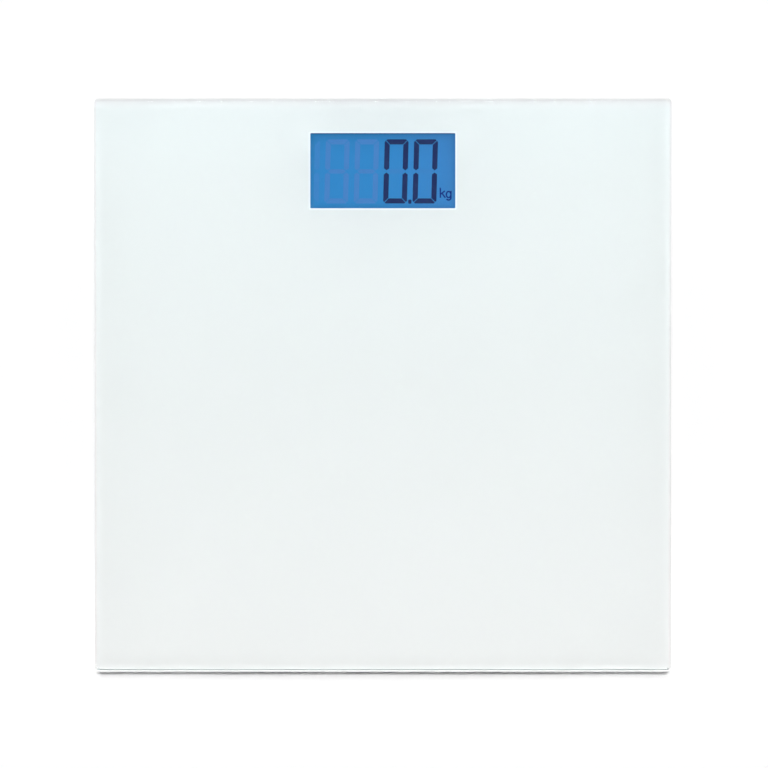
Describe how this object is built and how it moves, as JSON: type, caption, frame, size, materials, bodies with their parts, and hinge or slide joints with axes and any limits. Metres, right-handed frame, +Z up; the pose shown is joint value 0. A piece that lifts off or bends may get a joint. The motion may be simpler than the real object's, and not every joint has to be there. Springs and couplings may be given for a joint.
{
  "type": "digital bathroom scale",
  "caption": "Square glass bathroom scale with a backlit digital display, load-cell feet that give under weight, a press-in unit button and a sliding battery door.",
  "frame": {"origin": "on the floor, under the middle of the square platform", "axes": "+Z up, +Y towards the edge that the display stands near, +X to the right of the person who reads it"},
  "size_m": [0.3, 0.3, 0.025],
  "materials": {
    "clear_glass": "polished, faint green tint",
    "white_coat": "satin white, printed under the glass",
    "lcd_glass": "backlit blue behind glass",
    "clear_acrylic": "polished",
    "white_abs": "fine moulded texture",
    "grey_abs": "fine moulded texture",
    "grey_rubber": "matte",
    "white_foam": "closed-cell foam tape",
    "black_foam": "closed-cell foam",
    "spring_steel": "ground",
    "zinc_steel": "zinc plated",
    "nickel_steel": "nickel plated",
    "green_laminate": "solder mask",
    "black_epoxy": "glossy drop",
    "led_white": "diffuse",
    "can_aluminium": "satin",
    "ivory_nylon": "plain",
    "grey_silicone": "matte",
    "cell_wrap": "printed film over steel",
    "lead_vinyl": "satin vinyl"
  },
  "bodies": {
    "platform": {"glass_platform": "clear_glass", "back_print": "white_coat", "lcd_panel": "lcd_glass", "light_guide": "clear_acrylic", "display_housing": "white_abs", "housing_cover": "white_abs", "foot_housing_front_left": "white_abs", "foot_housing_front_right": "white_abs", "foot_housing_rear_left": "white_abs", "foot_housing_rear_right": "white_abs", "lead_channel_front_left": "white_abs", "lead_channel_front_right": "white_abs", "lead_channel_rear_left": "white_abs", "lead_channel_rear_right": "white_abs", "housing_tape": "white_foam", "foot_tape_front_left": "white_foam", "foot_tape_front_right": "white_foam", "foot_tape_rear_left": "white_foam", "foot_tape_rear_right": "white_foam", "display_gasket": "black_foam", "load_cell_front_left": "spring_steel", "load_cell_front_right": "spring_steel", "load_cell_rear_left": "spring_steel", "load_cell_rear_right": "spring_steel", "housing_screw_1": "zinc_steel", "housing_screw_2": "zinc_steel", "housing_screw_3": "zinc_steel", "housing_screw_4": "zinc_steel", "board_screw_1": "zinc_steel", "board_screw_2": "zinc_steel", "battery_spring_1": "nickel_steel", "battery_spring_2": "nickel_steel", "bridge_contact": "nickel_steel", "terminal_negative": "nickel_steel", "terminal_positive": "nickel_steel", "main_board": "green_laminate", "controller_chip": "black_epoxy", "backlight_led": "led_white", "capacitor": "can_aluminium", "lead_connector": "ivory_nylon", "switch_dome": "grey_silicone", "zebra_connector": "grey_silicone", "battery_cell_1": "cell_wrap", "battery_cell_2": "cell_wrap", "cell_lead_front_left": "lead_vinyl", "cell_lead_front_right": "lead_vinyl", "cell_lead_rear_left": "lead_vinyl", "cell_lead_rear_right": "lead_vinyl"},
    "foot_front_left": {"foot_cup_front_left": "grey_abs", "foot_pad_front_left": "grey_rubber"},
    "foot_front_right": {"foot_cup_front_right": "grey_abs", "foot_pad_front_right": "grey_rubber"},
    "foot_rear_left": {"foot_cup_rear_left": "grey_abs", "foot_pad_rear_left": "grey_rubber"},
    "foot_rear_right": {"foot_cup_rear_right": "grey_abs", "foot_pad_rear_right": "grey_rubber"},
    "unit_button": {"unit_button": "grey_abs"},
    "battery_door": {"battery_door": "white_abs"}
  },
  "joints": [
    {"name": "foot_travel_front_left", "type": "slide", "parent": "platform", "child": "foot_front_left", "axis": [0, 0, 1], "range_m": [0, 0.0006], "stiffness_N_per_m": 4000, "springref_m": -0.002, "deforming": ["load_cell_front_left"]},
    {"name": "foot_travel_front_right", "type": "slide", "parent": "platform", "child": "foot_front_right", "axis": [0, 0, 1], "range_m": [0, 0.0006], "stiffness_N_per_m": 4000, "springref_m": -0.002, "deforming": ["load_cell_front_right"]},
    {"name": "foot_travel_rear_left", "type": "slide", "parent": "platform", "child": "foot_rear_left", "axis": [0, 0, 1], "range_m": [0, 0.0006], "stiffness_N_per_m": 4000, "springref_m": -0.002, "deforming": ["load_cell_rear_left"]},
    {"name": "foot_travel_rear_right", "type": "slide", "parent": "platform", "child": "foot_rear_right", "axis": [0, 0, 1], "range_m": [0, 0.0006], "stiffness_N_per_m": 4000, "springref_m": -0.002, "deforming": ["load_cell_rear_right"]},
    {"name": "unit_button_press", "type": "slide", "parent": "platform", "child": "unit_button", "axis": [0, 0, 1], "range_m": [0, 0.0008], "stiffness_N_per_m": 600, "springref_m": -0.0005, "deforming": ["switch_dome"]},
    {"name": "battery_door_slide", "type": "slide", "parent": "platform", "child": "battery_door", "axis": [0, -1, 0], "range_m": [0, 0.03]}
  ]
}
